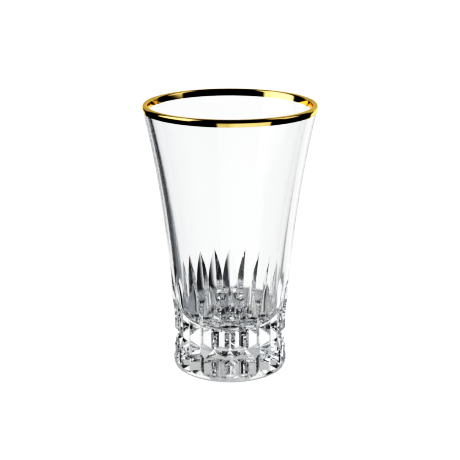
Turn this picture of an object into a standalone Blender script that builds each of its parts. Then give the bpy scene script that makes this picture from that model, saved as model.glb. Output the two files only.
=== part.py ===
"""A tall cut-crystal shot glass with a gold band fired onto its lip.

Run it with: blender --background --python part.py
Everything is in metres, +Z is up, and the origin is the middle of the face that the glass stands on.
The glass is one turned body, cut all round by upright V grooves, and the band is a thin ring over its lip.
"""

import math

import bmesh
import bpy

# Overall size
HEIGHT = 0.0800
LIP_OUTER_RADIUS = 0.0253  # at the middle of the rounded lip
WAIST_RADIUS = 0.01686  # where the bowl starts, just above the level groove

# Bowl, outside: above the waist the radius grows as a plain cone plus a power of the height
FLARE_START = 0.0100
FLARE_LEAN = 0.0033  # the plain cone's share of the whole growth
FLARE_POWER = 2.4

# Bowl, inside
LIP_THICKNESS = 0.0017
WALL_GROWTH = 0.0205  # extra wall for each metre below the rim, so the wall thickens downwards
WELL_TOP = 0.0220  # below this the inside curves in to the floor
WELL_FLOOR = 0.0130
WELL_ROUNDING = 2.6  # power of the curve between the wall and the floor: 2 is an ellipse

# Foot and the level groove above it
FOOT_RADIUS = 0.0172
FOOT_BEVEL = 0.0009
GROOVE_BOTTOM = 0.0065
GROOVE_VALLEY = 0.0096
GROOVE_TOP = 0.01195
GROOVE_RADIUS = 0.01487

# Upright V cuts
CUT_COUNT = 20
CUT_HALF_ANGLE = math.radians(55.5)  # between a cut's side and the line to the axis
CUT_TIP = 0.0306  # where a cut runs out on the bowl
CUT_DEEPEST = 0.0150
CUT_END_TOP = 0.0020  # the cut's end facet in the foot slopes out from here
CUT_END_BOTTOM = 0.0016
CUT_CLEARANCE = 0.0030  # how far outside the glass the cutter passes where it cuts nothing

# Gold band
BAND_DEPTH = 0.0021
BAND_GAUGE = 0.00025
FIT_GAP = 0.0003

# Mesh density
TURN_STEPS = 60
LIP_STEPS = 6
WELL_STEPS = 7
BOWL_STEPS = 8
CUT_STEPS = 5

LIP_LEVEL = HEIGHT - LIP_THICKNESS / 2
BAND_FOOT = HEIGHT - BAND_DEPTH


def outer_radius(z):
    """The outside of the bowl at height z, above the level groove."""
    reach = max(0.0, (z - FLARE_START) / (LIP_LEVEL - FLARE_START))
    curved = LIP_OUTER_RADIUS - WAIST_RADIUS - FLARE_LEAN
    return WAIST_RADIUS + FLARE_LEAN * reach + curved * reach**FLARE_POWER


def inner_radius(z):
    """The inside of the bowl at height z, above the rounded well."""
    return outer_radius(z) - LIP_THICKNESS - WALL_GROWTH * (HEIGHT - z)


def spread(start, end, steps):
    """Evenly spaced values from start to end, both included."""
    return [start + (end - start) * step / steps for step in range(steps + 1)]


def lip_points(half):
    """The rounded lip from its outer to its inner side, at a distance half from the middle of the wall."""
    middle = (outer_radius(LIP_LEVEL) + inner_radius(LIP_LEVEL)) / 2
    rise = 0.0001
    lean = math.atan((outer_radius(LIP_LEVEL) - outer_radius(LIP_LEVEL - rise)) / rise)
    angles = spread(-lean, math.pi - lean, LIP_STEPS)
    return [(middle + half * math.cos(a), LIP_LEVEL + half * math.sin(a)) for a in angles]


def well_points():
    """The inside below the wall: from its top edge down to the floor, ending on the axis."""
    depth = WELL_TOP - WELL_FLOOR
    width = inner_radius(WELL_TOP)
    points = []
    for angle in spread(0.0, math.pi / 2, WELL_STEPS):
        radius = width * math.cos(angle) ** (2 / WELL_ROUNDING)
        drop = depth * math.sin(angle) ** (2 / WELL_ROUNDING)
        points.append((radius, WELL_TOP - drop))
    points[-1] = (0.0, WELL_FLOOR)
    return points


def glass_profile():
    """(radius, height) points of the turned glass, from the middle of its base round to the well's floor."""
    tongue_foot = BAND_FOOT - FIT_GAP
    set_back = BAND_GAUGE + FIT_GAP
    points = [
        (0.0, 0.0),
        (FOOT_RADIUS - FOOT_BEVEL, 0.0),
        (FOOT_RADIUS - FOOT_BEVEL * 0.3, FOOT_BEVEL * 0.3),
        (FOOT_RADIUS, FOOT_BEVEL),
        (FOOT_RADIUS, GROOVE_BOTTOM),
        (GROOVE_RADIUS, GROOVE_VALLEY),
        (outer_radius(GROOVE_TOP), GROOVE_TOP),
    ]
    points += [(outer_radius(z), z) for z in spread(GROOVE_TOP, tongue_foot, BOWL_STEPS)[1:]]
    points.append((outer_radius(tongue_foot) - set_back, tongue_foot))
    points += lip_points(LIP_THICKNESS / 2 - set_back)
    points.append((inner_radius(tongue_foot) + set_back, tongue_foot))
    points += [(inner_radius(z), z) for z in spread(tongue_foot, WELL_TOP, BOWL_STEPS)[:-1]]
    return points + well_points()


def band_profile():
    """(radius, height) points of the gold band's section, an upside-down U, once round."""
    outside = [(outer_radius(BAND_FOOT), BAND_FOOT)] + lip_points(LIP_THICKNESS / 2)
    outside.append((inner_radius(BAND_FOOT), BAND_FOOT))
    inside = [(outer_radius(BAND_FOOT) - BAND_GAUGE, BAND_FOOT)] + lip_points(LIP_THICKNESS / 2 - BAND_GAUGE)
    inside.append((inner_radius(BAND_FOOT) + BAND_GAUGE, BAND_FOOT))
    return outside + inside[::-1]


def material(name, colour, roughness, metallic, transmission=0.0, ior=1.5):
    made = bpy.data.materials.new(name)
    made.use_nodes = True
    shader = made.node_tree.nodes["Principled BSDF"]
    shader.inputs["Base Color"].default_value = (*colour, 1.0)
    shader.inputs["Roughness"].default_value = roughness
    shader.inputs["Metallic"].default_value = metallic
    shader.inputs["Transmission Weight"].default_value = transmission
    shader.inputs["IOR"].default_value = ior
    return made


def add_object(name, mesh):
    made = bpy.data.objects.new(name, mesh)
    bpy.context.scene.collection.objects.link(made)
    return made


def turned(name, profile, closed):
    """Spins a profile once round the Z axis into a closed mesh."""
    work = bmesh.new()
    half_step = math.pi / TURN_STEPS
    verts = [work.verts.new((r * math.cos(half_step), r * math.sin(half_step), z)) for r, z in profile]
    edges = [work.edges.new(pair) for pair in zip(verts, verts[1:])]
    if closed:
        edges.append(work.edges.new((verts[-1], verts[0])))
    bmesh.ops.spin(
        work,
        geom=verts + edges,
        cent=(0, 0, 0),
        axis=(0, 0, 1),
        angle=2 * math.pi,
        steps=TURN_STEPS,
        use_merge=True,
    )
    bmesh.ops.remove_doubles(work, verts=work.verts, dist=1e-6)
    bmesh.ops.recalc_face_normals(work, faces=work.faces)
    mesh = bpy.data.meshes.new(name)
    work.to_mesh(mesh)
    work.free()
    return add_object(name, mesh)


def cut_sections():
    """(height, valley radius) pairs of the cutter: the grooves' bottoms, which follow a large cutting wheel."""
    full = outer_radius(GROOVE_TOP) * ridge_ratio()
    wheel_rise = (outer_radius(CUT_TIP) - full) / (CUT_TIP - CUT_DEEPEST) ** 2
    heights = spread(CUT_DEEPEST, CUT_TIP, CUT_STEPS)
    past_tip = CUT_TIP + (heights[-1] - heights[-2])
    heights.append(past_tip)
    arc = [(z, full + wheel_rise * (z - CUT_DEEPEST) ** 2) for z in heights]
    clear = LIP_OUTER_RADIUS + CUT_CLEARANCE
    below = [(-CUT_CLEARANCE, clear), (CUT_END_BOTTOM, FOOT_RADIUS), (CUT_END_TOP, full)]
    return below + arc + [(HEIGHT * 0.6, clear), (HEIGHT + CUT_CLEARANCE, clear)]


def ridge_ratio():
    """Valley radius over ridge radius where two neighbouring cuts meet in a sharp ridge."""
    half_pitch = math.pi / CUT_COUNT
    return math.cos(half_pitch) - math.sin(half_pitch) / math.tan(CUT_HALF_ANGLE)


def star_cutter():
    """A star-shaped column: what it leaves of the turned glass is the glass with its upright cuts."""
    work = bmesh.new()
    rings = []
    for height, valley in cut_sections():
        ring = []
        for corner in range(2 * CUT_COUNT):
            radius = valley if corner % 2 == 0 else valley / ridge_ratio()
            angle = -math.pi / 2 + math.pi * corner / CUT_COUNT
            ring.append(work.verts.new((radius * math.cos(angle), radius * math.sin(angle), height)))
        rings.append(ring)
    for low, high in zip(rings, rings[1:]):
        for corner in range(2 * CUT_COUNT):
            follow = (corner + 1) % (2 * CUT_COUNT)
            work.faces.new((low[corner], low[follow], high[follow], high[corner]))
    work.faces.new(rings[0][::-1])
    work.faces.new(rings[-1])
    bmesh.ops.recalc_face_normals(work, faces=work.faces)
    mesh = bpy.data.meshes.new("star_cutter")
    work.to_mesh(mesh)
    work.free()
    cutter = add_object("star_cutter", mesh)
    cutter.hide_render = True
    cutter.display_type = "WIRE"
    return cutter


def smooth(obj, angle):
    obj.data.shade_smooth()
    obj.data.set_sharp_from_angle(angle=angle)


def crystal_body():
    """The whole glass: base, foot, level groove, bowl and lip, with the upright cuts taken out of it."""
    body = turned("crystal_body", glass_profile(), closed=False)
    cut = body.modifiers.new("upright cuts", "BOOLEAN")
    cut.operation = "INTERSECT"
    cut.solver = "EXACT"
    cut.object = star_cutter()
    body.data.materials.append(material("clear_crystal", (0.98, 0.99, 1.0), 0.02, 0.0, transmission=1.0, ior=1.54))
    smooth(body, math.radians(20))


def gold_rim():
    """The gold band over the lip: a little way down the outside, over the top and a little way inside."""
    band = turned("gold_rim", band_profile(), closed=True)
    band.data.materials.append(material("bright_gold", (0.86, 0.62, 0.22), 0.12, 1.0))
    smooth(band, math.radians(40))


def main():
    for old in list(bpy.data.objects):
        bpy.data.objects.remove(old, do_unlink=True)
    crystal_body()
    gold_rim()


main()
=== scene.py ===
"""A tall cut-crystal shot glass with a gold band on its lip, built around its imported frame."""

import math

import bmesh
import bpy
from bpy.props import FloatProperty, FloatVectorProperty, IntProperty, PointerProperty
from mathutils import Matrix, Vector


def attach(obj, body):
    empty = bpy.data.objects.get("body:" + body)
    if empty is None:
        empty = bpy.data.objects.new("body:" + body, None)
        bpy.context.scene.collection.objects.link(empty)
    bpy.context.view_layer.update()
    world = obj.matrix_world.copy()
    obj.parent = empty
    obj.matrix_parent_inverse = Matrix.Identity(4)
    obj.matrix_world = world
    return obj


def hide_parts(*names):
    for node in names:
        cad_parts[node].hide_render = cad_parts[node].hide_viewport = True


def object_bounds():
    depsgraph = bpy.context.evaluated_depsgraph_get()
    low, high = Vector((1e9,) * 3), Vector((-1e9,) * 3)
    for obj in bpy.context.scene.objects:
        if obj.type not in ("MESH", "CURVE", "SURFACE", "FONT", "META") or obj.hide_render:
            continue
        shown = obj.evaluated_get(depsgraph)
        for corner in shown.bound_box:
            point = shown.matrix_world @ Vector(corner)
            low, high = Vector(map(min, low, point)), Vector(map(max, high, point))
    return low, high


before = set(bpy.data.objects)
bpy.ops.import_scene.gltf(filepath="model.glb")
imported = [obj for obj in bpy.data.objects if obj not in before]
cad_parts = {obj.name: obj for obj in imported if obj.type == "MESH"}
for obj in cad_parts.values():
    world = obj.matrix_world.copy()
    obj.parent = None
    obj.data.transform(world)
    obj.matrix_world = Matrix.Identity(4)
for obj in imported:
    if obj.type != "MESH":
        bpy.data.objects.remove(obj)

bl_info = {
    "name": "Cut-crystal shot glass",
    "version": (1, 0, 0),
    "blender": (4, 5, 0),
    "location": "View3D > Sidebar > Shot Glass",
    "description": "Models a wheel-cut crystal shot glass with a fired gold band, and its studio stage",
    "category": "Add Mesh",
}

CAD_LOW, CAD_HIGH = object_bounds()
HEIGHT = CAD_HIGH.z - CAD_LOW.z
RIM_RADIUS = (CAD_HIGH.x - CAD_LOW.x) / 2
MM = 0.001

# How many steps follow each curve of the turned outlines
OUTSIDE_STEPS = 70
INSIDE_STEPS = 60
WELL_STEPS = 28
GLASS_LIP_STEPS = 20
GOLD_LIP_STEPS = 28

# The cutter's levels: along the arc of a cut, and a little further on above its tip
ARC_STEPS = 16
RUN_OUT_STEPS = 4
RUN_OUT_SHARE = 0.4  # of the arc's height
CLEAR_LEVEL = 0.6  # share of the glass's height from which the cutter is clear of it

# Edges that turn by more than this stay crisp
CRYSTAL_CRISP_ANGLE = math.radians(16)
GOLD_CRISP_ANGLE = math.radians(40)

# Each soft light is a patch of the surroundings: name, azimuth and its half width, lowest and highest
# elevation, softness of the edges, all in degrees, and brightness. Azimuth 0 is behind the glass and 90 is to
# its right.
SOFT_LIGHTS = (
    ("back_screen", 8, 35, -28, 3, 8, 1.05),
    ("back_wall", 4, 50, 3, 60, 10, 0.48),
    ("left_box", 258, 26, 0, 58, 6, 1.6),
    ("right_window", 92, 14, 12, 60, 6, 0.8),
    ("front_floor", 160, 38, -46, -26, 5, 0.85),
    ("under_glow", 4, 54, -56, -30, 8, 0.3),
)

# These are seen only through the crystal. They keep it clear from every side and leave the gold's
# reflections dark.
CLEAR_WALLS = (
    ("front_wall", 180, 84, -28, 4, 8, 0.5),
    ("right_corner", 66, 24, -44, 8, 8, 0.32),
    ("left_corner", 294, 24, -44, 8, 8, 0.32),
    ("right_floor", 106, 16, -44, -28, 6, 0.4),
    ("left_floor", 234, 36, -44, -28, 6, 0.4),
    ("table", 0, 190, -91, -64, 8, 0.45),
)
ROOM_LEVEL = 0.003  # brightness of the room between the soft lights
PLAIN_SIDE = (1.0, 1.0, 1.0)
COOL_SIDE = (0.78, 0.81, 0.84)
COOL_EDGE = (-22.5, 55)  # azimuth where the cool side ends, and how softly, in degrees

ALL_CHANNELS = 3  # the tone curve that comes after those of red, green and blue

# Darker shadows and an open middle, with black and white kept where they are: (level, shown level)
TONE_CURVE = ((0.03, 0.006), (0.08, 0.026), (0.19, 0.14), (0.41, 0.48), (0.65, 0.79))

SENSOR_WIDTH = 36.0  # millimetres
FLOOR_DROP = 0.05 * MM  # keeps the floor from touching the foot


# ---------------------------------------------------------------- settings


class GlassSizes(bpy.types.PropertyGroup):
    """The turned shape of the glass."""

    height: FloatProperty(name="Height", description="Foot to top of the lip", default=HEIGHT, unit="LENGTH")
    rim_radius: FloatProperty(
        name="Rim radius",
        description="Outer radius at the middle of the rounded lip",
        default=RIM_RADIUS,
        unit="LENGTH",
    )
    waist_radius: FloatProperty(
        name="Waist radius",
        description="Outer radius where the bowl starts",
        default=16.86 * MM,
        unit="LENGTH",
    )
    flare_start: FloatProperty(
        name="Flare start",
        description="Height where the bowl starts to open",
        default=10.0 * MM,
        unit="LENGTH",
    )
    flare_lean: FloatProperty(
        name="Flare lean",
        description="How much of the opening is a plain cone",
        default=3.3 * MM,
        unit="LENGTH",
    )
    flare_power: FloatProperty(
        name="Flare power", description="How late the rest of the bowl opens: 1 is a plain cone", default=2.4
    )
    lip_thickness: FloatProperty(
        name="Lip thickness", description="Wall thickness at the rim", default=1.7 * MM, unit="LENGTH"
    )
    wall_growth: FloatProperty(
        name="Wall growth", description="Extra wall for each unit of depth below the rim", default=0.0205
    )
    well_top: FloatProperty(
        name="Well top",
        description="Height where the inside turns in to its floor",
        default=22.0 * MM,
        unit="LENGTH",
    )
    well_floor: FloatProperty(
        name="Well floor", description="Height of the inside floor", default=13.0 * MM, unit="LENGTH"
    )
    well_rounding: FloatProperty(
        name="Well rounding",
        description="Power of the curve between wall and floor: 2 is an ellipse",
        default=2.6,
    )
    foot_radius: FloatProperty(
        name="Foot radius", description="Radius of the foot", default=17.2 * MM, unit="LENGTH"
    )
    foot_bevel: FloatProperty(
        name="Foot bevel", description="Rounding of the foot's lower edge", default=0.9 * MM, unit="LENGTH"
    )
    groove_bottom: FloatProperty(
        name="Groove bottom",
        description="Height of the level groove's lower edge",
        default=6.5 * MM,
        unit="LENGTH",
    )
    groove_valley: FloatProperty(
        name="Groove valley",
        description="Height of the level groove's deepest line",
        default=9.6 * MM,
        unit="LENGTH",
    )
    groove_top: FloatProperty(
        name="Groove top",
        description="Height of the level groove's upper edge",
        default=11.95 * MM,
        unit="LENGTH",
    )
    groove_radius: FloatProperty(
        name="Groove radius",
        description="Radius at the level groove's deepest line",
        default=14.87 * MM,
        unit="LENGTH",
    )
    edge_softness: FloatProperty(
        name="Edge softness",
        description="Rounding that polishing leaves on the turned edges",
        default=0.12 * MM,
        unit="LENGTH",
    )
    turn_steps: IntProperty(
        name="Turn steps", description="Segments once round the glass", default=240, min=40
    )


class CutSizes(bpy.types.PropertyGroup):
    """The upright V cuts round the lower half."""

    count: IntProperty(name="Cuts", description="Number of upright cuts round the glass", default=20, min=6)
    half_angle: FloatProperty(
        name="Half angle",
        description="Angle between a cut's side and the line to the axis",
        default=math.radians(55.5),
        subtype="ANGLE",
    )
    tip: FloatProperty(
        name="Tip", description="Height where a cut runs out on the bowl", default=30.6 * MM, unit="LENGTH"
    )
    deepest: FloatProperty(
        name="Deepest",
        description="Height where the wheel's arc is deepest",
        default=15.0 * MM,
        unit="LENGTH",
    )
    end_top: FloatProperty(
        name="End top",
        description="Height where a cut starts to run out in the foot",
        default=2.0 * MM,
        unit="LENGTH",
    )
    end_bottom: FloatProperty(
        name="End bottom",
        description="Height where a cut has run out in the foot",
        default=1.6 * MM,
        unit="LENGTH",
    )
    softness: FloatProperty(
        name="Softness",
        description="Rounding of the cuts' valleys and ridges",
        default=0.07 * MM,
        unit="LENGTH",
    )
    clearance: FloatProperty(
        name="Clearance",
        description="How far outside the glass the cutter passes",
        default=3.0 * MM,
        unit="LENGTH",
    )


class GoldSizes(bpy.types.PropertyGroup):
    """The gold band over the lip."""

    depth: FloatProperty(
        name="Depth", description="How far the band comes down", default=2.1 * MM, unit="LENGTH"
    )
    gauge: FloatProperty(name="Gauge", description="Thickness of the gold", default=0.05 * MM, unit="LENGTH")
    fit_gap: FloatProperty(
        name="Fit gap", description="Space between gold and glass", default=0.02 * MM, unit="LENGTH"
    )
    colour: FloatVectorProperty(
        name="Gold",
        description="Colour of the fired gold",
        default=(1.0, 0.75, 0.32),
        subtype="COLOR",
        size=3,
    )


class StageSizes(bpy.types.PropertyGroup):
    """Camera and floor."""

    camera_distance: FloatProperty(
        name="Camera distance", description="Level distance from the axis", default=301.9 * MM, unit="LENGTH"
    )
    camera_height: FloatProperty(
        name="Camera height", description="Height above the floor", default=135.7 * MM, unit="LENGTH"
    )
    camera_tilt: FloatProperty(
        name="Camera tilt",
        description="How far the camera looks down",
        default=math.radians(17.27),
        subtype="ANGLE",
    )
    lens: FloatProperty(name="Lens", description="Focal length in millimetres", default=83.4)
    floor_radius: FloatProperty(
        name="Floor radius", description="Radius of the round floor", default=6.0, unit="LENGTH"
    )


# ---------------------------------------------------------------- outlines


def spread(start, end, steps):
    """Evenly spaced values from start to end, both included."""
    return [start + (end - start) * step / steps for step in range(steps + 1)]


class Outline:
    """The glass's turned outline, worked out from its sizes."""

    def __init__(self, glass):
        self.glass = glass
        self.lip_level = glass.height - glass.lip_thickness / 2

    def outer(self, z):
        glass = self.glass
        reach = max(0.0, (z - glass.flare_start) / (self.lip_level - glass.flare_start))
        curved = glass.rim_radius - glass.waist_radius - glass.flare_lean
        return glass.waist_radius + glass.flare_lean * reach + curved * reach**glass.flare_power

    def inner(self, z):
        glass = self.glass
        return self.outer(z) - glass.lip_thickness - glass.wall_growth * (glass.height - z)

    def lip(self, half, steps):
        """The rounded lip from its outer to its inner side, at a distance half from the wall's middle."""
        middle = (self.outer(self.lip_level) + self.inner(self.lip_level)) / 2
        rise = 0.1 * MM
        lean = math.atan((self.outer(self.lip_level) - self.outer(self.lip_level - rise)) / rise)
        angles = spread(-lean, math.pi - lean, steps)
        return [(middle + half * math.cos(a), self.lip_level + half * math.sin(a)) for a in angles]

    def well(self, steps):
        """The inside below the wall, from its top edge down to the middle of the floor."""
        glass = self.glass
        width = self.inner(glass.well_top)
        depth = glass.well_top - glass.well_floor
        power = 2 / glass.well_rounding
        points = []
        for angle in spread(0.0, math.pi / 2, steps):
            radius = width * math.cos(angle) ** power
            points.append((radius, glass.well_top - depth * math.sin(angle) ** power))
        points[-1] = (0.0, glass.well_floor)
        return points


def softened(points, reach, steps=3):
    """Replaces each inner corner of an outline with a short curve that starts and ends reach away from it."""
    made = [points[0]]
    for before, corner, after in zip(points, points[1:], points[2:]):
        corner = Vector(corner)
        start = corner + (Vector(before) - corner).normalized() * reach
        end = corner + (Vector(after) - corner).normalized() * reach
        for t in spread(0.0, 1.0, steps):
            made.append(tuple(start * (1 - t) ** 2 + corner * 2 * t * (1 - t) + end * t**2))
    return made + [points[-1]]


def glass_outline(glass, gold):
    """(radius, height) points of the turned glass, from the middle of its base round to that of the well."""
    shape = Outline(glass)
    band_foot = glass.height - gold.depth
    set_back = gold.gauge + gold.fit_gap
    foot = [
        (glass.foot_radius - glass.foot_bevel * 2, 0.0),
        (glass.foot_radius - glass.foot_bevel, 0.0),
        (glass.foot_radius - glass.foot_bevel * 0.3, glass.foot_bevel * 0.3),
        (glass.foot_radius, glass.foot_bevel),
        (glass.foot_radius, glass.groove_bottom),
        (glass.groove_radius, glass.groove_valley),
        (shape.outer(glass.groove_top), glass.groove_top),
        (shape.outer(glass.groove_top + MM), glass.groove_top + MM),
    ]
    points = [(0.0, 0.0)] + softened(foot, glass.edge_softness)
    points += [(shape.outer(z), z) for z in spread(glass.groove_top + MM, band_foot, OUTSIDE_STEPS)[1:]]
    points.append((shape.outer(band_foot) - set_back, band_foot + set_back))
    points += shape.lip(glass.lip_thickness / 2 - set_back, GLASS_LIP_STEPS)
    points.append((shape.inner(band_foot) + set_back, band_foot + set_back))
    points += [(shape.inner(z), z) for z in spread(band_foot, glass.well_top, INSIDE_STEPS)[:-1]]
    return points + shape.well(WELL_STEPS)


def gold_outline(glass, gold):
    """(radius, height) points once round the section of the gold band."""
    shape = Outline(glass)
    band_foot = glass.height - gold.depth
    sides = []
    for depth in (0.0, gold.gauge):
        side = [(shape.outer(band_foot) - depth, band_foot)]
        side += shape.lip(glass.lip_thickness / 2 - depth, GOLD_LIP_STEPS)
        side.append((shape.inner(band_foot) + depth, band_foot))
        sides.append(side)
    outside, inside = sides
    return outside + inside[::-1]


# ---------------------------------------------------------------- modelling helpers


def start_piece(add, name, **options):
    """Adds a primitive, with nothing else selected, names it and selects all of it in edit mode."""
    bpy.ops.object.select_all(action="DESELECT")
    add(**options)
    piece = bpy.context.object
    piece.name = name
    piece.data.name = name
    bpy.ops.object.mode_set(mode="EDIT")
    bpy.ops.mesh.select_mode(type="VERT")
    bpy.ops.mesh.select_all(action="SELECT")
    return piece


def turn(name, outline, steps, closed):
    """Draws an outline point by point and spins it once round the Z axis."""
    piece = start_piece(bpy.ops.mesh.primitive_plane_add, name, size=MM)
    bpy.ops.mesh.merge(type="CENTER")
    radius, height = outline[0]
    bpy.ops.transform.translate(value=(radius, 0.0, height))
    for next_radius, next_height in outline[1:]:
        step = (next_radius - radius, 0.0, next_height - height)
        bpy.ops.mesh.extrude_vertices_move(TRANSFORM_OT_translate={"value": step})
        radius, height = next_radius, next_height
    if closed:
        select(piece, is_open_end)
        bpy.ops.mesh.edge_face_add()
    bpy.ops.mesh.select_all(action="SELECT")
    bpy.ops.mesh.spin(steps=steps, angle=2 * math.pi, center=(0, 0, 0), axis=(0, 0, 1), use_auto_merge=True)
    bpy.ops.mesh.select_all(action="SELECT")
    bpy.ops.mesh.remove_doubles(threshold=1e-6)
    bpy.ops.mesh.normals_make_consistent(inside=False)
    bpy.ops.object.mode_set(mode="OBJECT")
    return piece


def select(piece, wanted):
    """Selects the vertices of the piece in edit mode that pass the test."""
    mesh = bmesh.from_edit_mesh(piece.data)
    for vert in mesh.verts:
        vert.select = wanted(vert)
    mesh.select_flush_mode()
    bmesh.update_edit_mesh(piece.data)


def is_open_end(vert):
    return len(vert.link_edges) == 1


def finish_piece(piece, material, sharp_angle):
    """Gives a finished piece its material and its shading: smooth, but crisp at edges above the angle."""
    bpy.ops.object.select_all(action="DESELECT")
    piece.select_set(True)
    bpy.context.view_layer.objects.active = piece
    bpy.ops.object.transform_apply(location=True, rotation=True, scale=True)
    piece.data.materials.clear()
    piece.data.materials.append(material)
    bpy.ops.object.shade_smooth_by_angle(angle=sharp_angle)


# ---------------------------------------------------------------- shader helpers


class Socket:
    """A node's output socket that takes part in Python maths and adds the Math nodes it needs."""

    def __init__(self, tree, socket):
        self.tree = tree
        self.socket = socket

    def math(self, operation, *values):
        return self.tree.node("ShaderNodeMath", {"operation": operation}, values)

    def __add__(self, other):
        return self.math("ADD", self, other)

    def __sub__(self, other):
        return self.math("SUBTRACT", self, other)

    def __mul__(self, other):
        return self.math("MULTIPLY", self, other)

    def __radd__(self, other):
        return self.math("ADD", other, self)

    def __rsub__(self, other):
        return self.math("SUBTRACT", other, self)

    def __rmul__(self, other):
        return self.math("MULTIPLY", other, self)

    def smooth_step(self, low, high):
        """0 below low, 1 above high, and a smooth change between them."""
        settings = {"interpolation_type": "SMOOTHSTEP"}
        values = {"Value": self, "From Min": low, "From Max": high}
        return self.tree.node("ShaderNodeMapRange", settings, values)

    def past_angle(self, degrees, softness):
        """0 before the angle, 1 past it, and a smooth change across an edge of the given softness."""
        middle = math.radians(degrees)
        edge = math.radians(softness) / 2
        return self.smooth_step(middle - edge, middle + edge)


class Tree:
    """Adds nodes to a material's or a world's node tree."""

    def __init__(self, owner):
        owner.use_nodes = True
        self.nodes = owner.node_tree.nodes
        self.links = owner.node_tree.links

    def node(self, kind, settings, values, output=0):
        """Adds a node. Settings are set first, then values, by socket name or in order, are set or linked."""
        made = self.nodes.new(kind)
        for name, setting in settings.items():
            setattr(made, name, setting)
        pairs = values.items() if isinstance(values, dict) else enumerate(values)
        for key, value in pairs:
            self.feed(made.inputs[key], value)
        return Socket(self, made.outputs[output])

    def feed(self, target, value):
        if isinstance(value, Socket):
            self.links.new(value.socket, target)
        elif isinstance(value, (tuple, list)) and target.type == "RGBA":
            target.default_value = (*value, 1.0) if len(value) == 3 else value
        else:
            target.default_value = value

    def noise(self, scale, detail=3.0, stretch=(1.0, 1.0, 1.0)):
        """Noise in the piece's own coordinates."""
        where = self.node("ShaderNodeTexCoord", {}, {}, output="Object")
        place = self.node("ShaderNodeMapping", {}, {"Vector": where, "Scale": stretch})
        return self.node("ShaderNodeTexNoise", {}, {"Vector": place, "Scale": scale, "Detail": detail})

    def mix_colour(self, factor, first, second):
        values = {"Factor": factor, 6: first, 7: second}
        return self.node("ShaderNodeMix", {"data_type": "RGBA"}, values, output=2)

    def shader(self, name):
        return self.nodes[name]


def new_material(name):
    material = bpy.data.materials.new(name)
    tree = Tree(material)
    return material, tree, tree.shader("Principled BSDF")


def crystal_material():
    """Polished lead crystal: clear and almost mirror smooth, with the faint waves that shaping leaves."""
    material, tree, shader = new_material("clear_crystal")
    shader.inputs["Transmission Weight"].default_value = 1.0
    shader.inputs["IOR"].default_value = 1.54
    haze = tree.noise(90.0).smooth_step(0.35, 0.75)
    tree.feed(shader.inputs["Roughness"], 0.002 + 0.010 * haze)
    tree.feed(shader.inputs["Base Color"], tree.mix_colour(haze, (0.995, 0.998, 1.0), (0.985, 0.992, 0.996)))
    waves = tree.noise(160.0, detail=1.0, stretch=(1.0, 1.0, 0.06))
    bump = {"Height": waves, "Strength": 0.12, "Distance": 0.05 * MM}
    tree.feed(shader.inputs["Normal"], tree.node("ShaderNodeBump", {}, bump))
    return material


def gold_material(gold):
    """Bright fired gold: a mirror film with faint brush lines round the lip and duller rubbed spots."""
    material, tree, shader = new_material("bright_gold")
    shader.inputs["Metallic"].default_value = 1.0
    shader.inputs["Specular Tint"].default_value = (1.0, 0.86, 0.52, 1.0)
    colour = tuple(gold.colour)
    deeper = (colour[0] * 0.86, colour[1] * 0.80, colour[2] * 0.66)
    rubbed = tree.noise(220.0, detail=4.0).smooth_step(0.42, 0.72)
    tree.feed(shader.inputs["Base Color"], tree.mix_colour(rubbed, colour, deeper))
    tree.feed(shader.inputs["Roughness"], 0.03 + 0.05 * rubbed)
    lines = tree.noise(900.0, detail=2.0, stretch=(0.25, 0.25, 3.0))
    bump = {"Height": lines, "Strength": 0.10, "Distance": 0.02 * MM}
    tree.feed(shader.inputs["Normal"], tree.node("ShaderNodeBump", {}, bump))
    return material


# ---------------------------------------------------------------- the pieces


def half_pitch(cuts):
    """The angle round the axis from a cut's valley to the ridge beside it."""
    return math.pi / cuts.count


def places_round(vert, cuts):
    """How many half pitches round the glass a vertex lies. Valleys are even and ridges are odd."""
    return math.atan2(vert.co.x, -vert.co.y) / half_pitch(cuts)


def ridge_ratio(cuts):
    """Valley radius over ridge radius where two neighbouring cuts meet in a sharp ridge."""
    return math.cos(half_pitch(cuts)) - math.sin(half_pitch(cuts)) / math.tan(cuts.half_angle)


def cut_sections(glass, cuts):
    """(height, valley radius) pairs for the cutter: its valleys follow the arc of a large cutting wheel."""
    shape = Outline(glass)
    full = shape.outer(glass.groove_top) * ridge_ratio(cuts)
    arc_height = cuts.tip - cuts.deepest
    rise = (shape.outer(cuts.tip) - full) / arc_height**2
    heights = spread(cuts.deepest, cuts.tip, ARC_STEPS)
    heights += spread(cuts.tip, cuts.tip + arc_height * RUN_OUT_SHARE, RUN_OUT_STEPS)[1:]
    arc = [(z, full + rise * (z - cuts.deepest) ** 2) for z in heights]
    clear = glass.rim_radius + cuts.clearance
    start = [(-cuts.clearance, clear), (cuts.end_bottom, glass.foot_radius), (cuts.end_top, full)]
    return start + arc + [(glass.height * CLEAR_LEVEL, clear), (glass.height + cuts.clearance, clear)]


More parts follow.
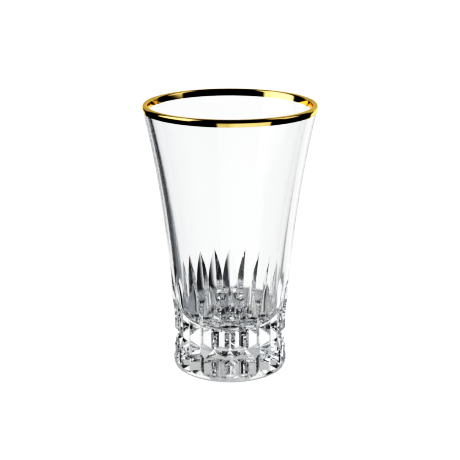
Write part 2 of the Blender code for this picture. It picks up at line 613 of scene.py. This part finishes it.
def star_column(glass, cuts):
    """A tall star-shaped column, extruded and scaled level by level. The cut glass is what lies inside it."""
    sections = cut_sections(glass, cuts)
    height, valley = sections[0]
    column = start_piece(
        bpy.ops.mesh.primitive_circle_add,
        "star_column",
        vertices=2 * cuts.count,
        radius=valley,
        fill_type="NGON",
        location=(0.0, 0.0, height),
        rotation=(0.0, 0.0, math.pi / 2),
    )
    bpy.ops.object.mode_set(mode="OBJECT")
    bpy.ops.object.transform_apply(location=True, rotation=True, scale=True)
    bpy.ops.object.mode_set(mode="EDIT")

    def on_ridge(vert):
        return round(places_round(vert, cuts)) % 2 == 1

    select(column, on_ridge)
    grow = 1 / ridge_ratio(cuts)
    bpy.ops.transform.resize(value=(grow, grow, 1.0), center_override=(0.0, 0.0, height))
    bpy.ops.mesh.select_all(action="SELECT")
    for next_height, next_valley in sections[1:]:
        move = {"value": (0.0, 0.0, next_height - height)}
        bpy.ops.mesh.extrude_region_move(TRANSFORM_OT_translate=move)
        scale = next_valley / valley
        bpy.ops.transform.resize(value=(scale, scale, 1.0), center_override=(0.0, 0.0, next_height))
        height, valley = next_height, next_valley
    bpy.ops.mesh.select_all(action="SELECT")
    bpy.ops.mesh.normals_make_consistent(inside=False)
    soften_upright_edges(column, cuts)
    bpy.ops.object.mode_set(mode="OBJECT")
    return column


def soften_upright_edges(column, cuts):
    """Bevels the column's ridges and valleys, which run up and down, and no other edges."""
    mesh = bmesh.from_edit_mesh(column.data)
    bpy.ops.mesh.select_mode(type="EDGE")
    for edge in mesh.edges:
        start, end = edge.verts
        level = abs(start.co.z - end.co.z) < 0.01 * MM
        upright = abs(places_round(start, cuts) - places_round(end, cuts)) < 0.1
        edge.select_set(upright and not level)
    bmesh.update_edit_mesh(column.data)
    bpy.ops.mesh.bevel(offset=cuts.softness, segments=2, affect="EDGES")


def keep_common(piece, other):
    """Keeps only what the piece shares with the other object, and removes that object."""
    common = piece.modifiers.new("common", "BOOLEAN")
    common.operation = "INTERSECT"
    common.solver = "EXACT"
    common.object = other
    bpy.context.view_layer.objects.active = piece
    bpy.ops.object.modifier_apply(modifier=common.name)
    bpy.data.objects.remove(other, do_unlink=True)


class OBJECT_OT_crystal_body(bpy.types.Operator):
    """Turn the glass, cut it all round and polish it"""

    bl_idname = "object.crystal_body"
    bl_label = "Crystal body"

    def execute(self, context):
        glass = context.scene.shot_glass
        cuts = context.scene.shot_glass_cuts
        outline = glass_outline(glass, context.scene.shot_glass_gold)
        body = turn("cut_crystal_body", outline, glass.turn_steps, closed=False)
        keep_common(body, star_column(glass, cuts))
        finish_piece(body, crystal_material(), CRYSTAL_CRISP_ANGLE)
        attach(body, "root")
        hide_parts("crystal_body")
        return {"FINISHED"}


class OBJECT_OT_gold_band(bpy.types.Operator):
    """Lay the thin gold band over the lip"""

    bl_idname = "object.gold_band"
    bl_label = "Gold band"

    def execute(self, context):
        glass = context.scene.shot_glass
        gold = context.scene.shot_glass_gold
        band = turn("gold_band", gold_outline(glass, gold), glass.turn_steps, closed=True)
        finish_piece(band, gold_material(gold), GOLD_CRISP_ANGLE)
        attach(band, "root")
        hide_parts("gold_rim")
        return {"FINISHED"}


# ---------------------------------------------------------------- the stage


def floor_material():
    """A plain white floor that glows evenly, like a light table."""
    material, _, shader = new_material("pale_floor")
    shader.inputs["Base Color"].default_value = (0.9, 0.9, 0.9, 1.0)
    shader.inputs["Emission Color"].default_value = (1.0, 1.0, 1.0, 1.0)
    shader.inputs["Emission Strength"].default_value = 1.0
    return material


def light_level(lights, azimuth, elevation):
    """The summed brightness of soft lights in the direction that the two sockets give."""
    level = 0.0
    for _, centre, half_width, low, high, softness, brightness in lights:
        turned_away = azimuth.math("WRAP", azimuth - math.radians(centre), math.pi, -math.pi)
        aside = turned_away.math("ABSOLUTE", turned_away)
        across = 1 - aside.past_angle(half_width, softness)
        above = elevation.past_angle(low, softness)
        below = 1 - elevation.past_angle(high, softness)
        level = across * above * below * brightness + level
    return level


def studio_world():
    """White to the camera. Reflections and refractions find a dark room with large soft lights."""
    world = bpy.data.worlds.new("studio")
    tree = Tree(world)
    back = tree.shader("Background")
    seen = tree.node("ShaderNodeLightPath", {}, {}, output="Is Camera Ray")
    refracted = tree.node("ShaderNodeLightPath", {}, {}, output="Is Transmission Ray")
    where = tree.node("ShaderNodeTexCoord", {}, {}, output="Generated")
    x, y, z = (tree.node("ShaderNodeSeparateXYZ", {}, {0: where}, output=axis) for axis in "XYZ")
    azimuth = x.math("ARCTAN2", x, y)
    elevation = z.math("ARCSINE", z)
    level = light_level(SOFT_LIGHTS, azimuth, elevation) + ROOM_LEVEL
    level = refracted * light_level(CLEAR_WALLS, azimuth, elevation) + level
    cool = (1 - seen) * (1 - azimuth.past_angle(*COOL_EDGE))
    tree.feed(back.inputs["Color"], tree.mix_colour(cool, PLAIN_SIDE, COOL_SIDE))
    tree.feed(back.inputs["Strength"], seen.math("MAXIMUM", seen, level))
    bpy.context.scene.world = world


def set_tone():
    """Shows colours as they are, apart from the tone curve over all three channels."""
    view = bpy.context.scene.view_settings
    view.view_transform = "Standard"
    view.use_curve_mapping = True
    curve = view.curve_mapping.curves[ALL_CHANNELS]
    for level, shown in TONE_CURVE:
        curve.points.new(level, shown)
    view.curve_mapping.update()


class OBJECT_OT_glass_stage(bpy.types.Operator):
    """Set up the floor, the soft studio light and the camera"""

    bl_idname = "object.glass_stage"
    bl_label = "Stage"

    def execute(self, context):
        sizes = context.scene.shot_glass_stage
        floor = start_piece(
            bpy.ops.mesh.primitive_circle_add,
            "floor",
            vertices=96,
            radius=sizes.floor_radius,
            fill_type="NGON",
        )
        bpy.ops.object.mode_set(mode="OBJECT")
        floor.location.z = CAD_LOW.z - FLOOR_DROP
        floor.data.materials.append(floor_material())
        floor.visible_glossy = False
        floor.visible_transmission = False
        studio_world()
        set_tone()
        camera = bpy.data.cameras.new("camera")
        camera.lens = sizes.lens
        camera.sensor_width = SENSOR_WIDTH
        seat = bpy.data.objects.new("camera", camera)
        context.scene.collection.objects.link(seat)
        seat.location = (0.0, -sizes.camera_distance, CAD_LOW.z + sizes.camera_height)
        seat.rotation_euler = (math.pi / 2 - sizes.camera_tilt, 0.0, 0.0)
        context.scene.camera = seat
        context.scene.cycles.transmission_bounces = 24
        context.scene.cycles.glossy_bounces = 16
        context.scene.cycles.max_bounces = 32
        return {"FINISHED"}


# ---------------------------------------------------------------- the add-on


class VIEW3D_PT_shot_glass(bpy.types.Panel):
    """Lists the steps and the sizes they use"""

    bl_label = "Shot glass"
    bl_space_type = "VIEW_3D"
    bl_region_type = "UI"
    bl_category = "Shot Glass"

    def draw(self, context):
        for step in STEPS:
            self.layout.operator(step.bl_idname)
        for name, group in SETTINGS.items():
            box = self.layout.box()
            for field in group.__annotations__:
                box.prop(getattr(context.scene, name), field)


STEPS = (OBJECT_OT_crystal_body, OBJECT_OT_gold_band, OBJECT_OT_glass_stage)
SETTINGS = {
    "shot_glass": GlassSizes,
    "shot_glass_cuts": CutSizes,
    "shot_glass_gold": GoldSizes,
    "shot_glass_stage": StageSizes,
}


def register():
    for group in (*SETTINGS.values(), *STEPS, VIEW3D_PT_shot_glass):
        bpy.utils.register_class(group)
    for name, group in SETTINGS.items():
        setattr(bpy.types.Scene, name, PointerProperty(type=group))


def unregister():
    for name in SETTINGS:
        delattr(bpy.types.Scene, name)
    for group in (VIEW3D_PT_shot_glass, *STEPS, *SETTINGS.values()):
        bpy.utils.unregister_class(group)


def main():
    register()
    bpy.ops.object.crystal_body()
    bpy.ops.object.gold_band()
    bpy.ops.object.glass_stage()


if __name__ == "__main__":
    main()
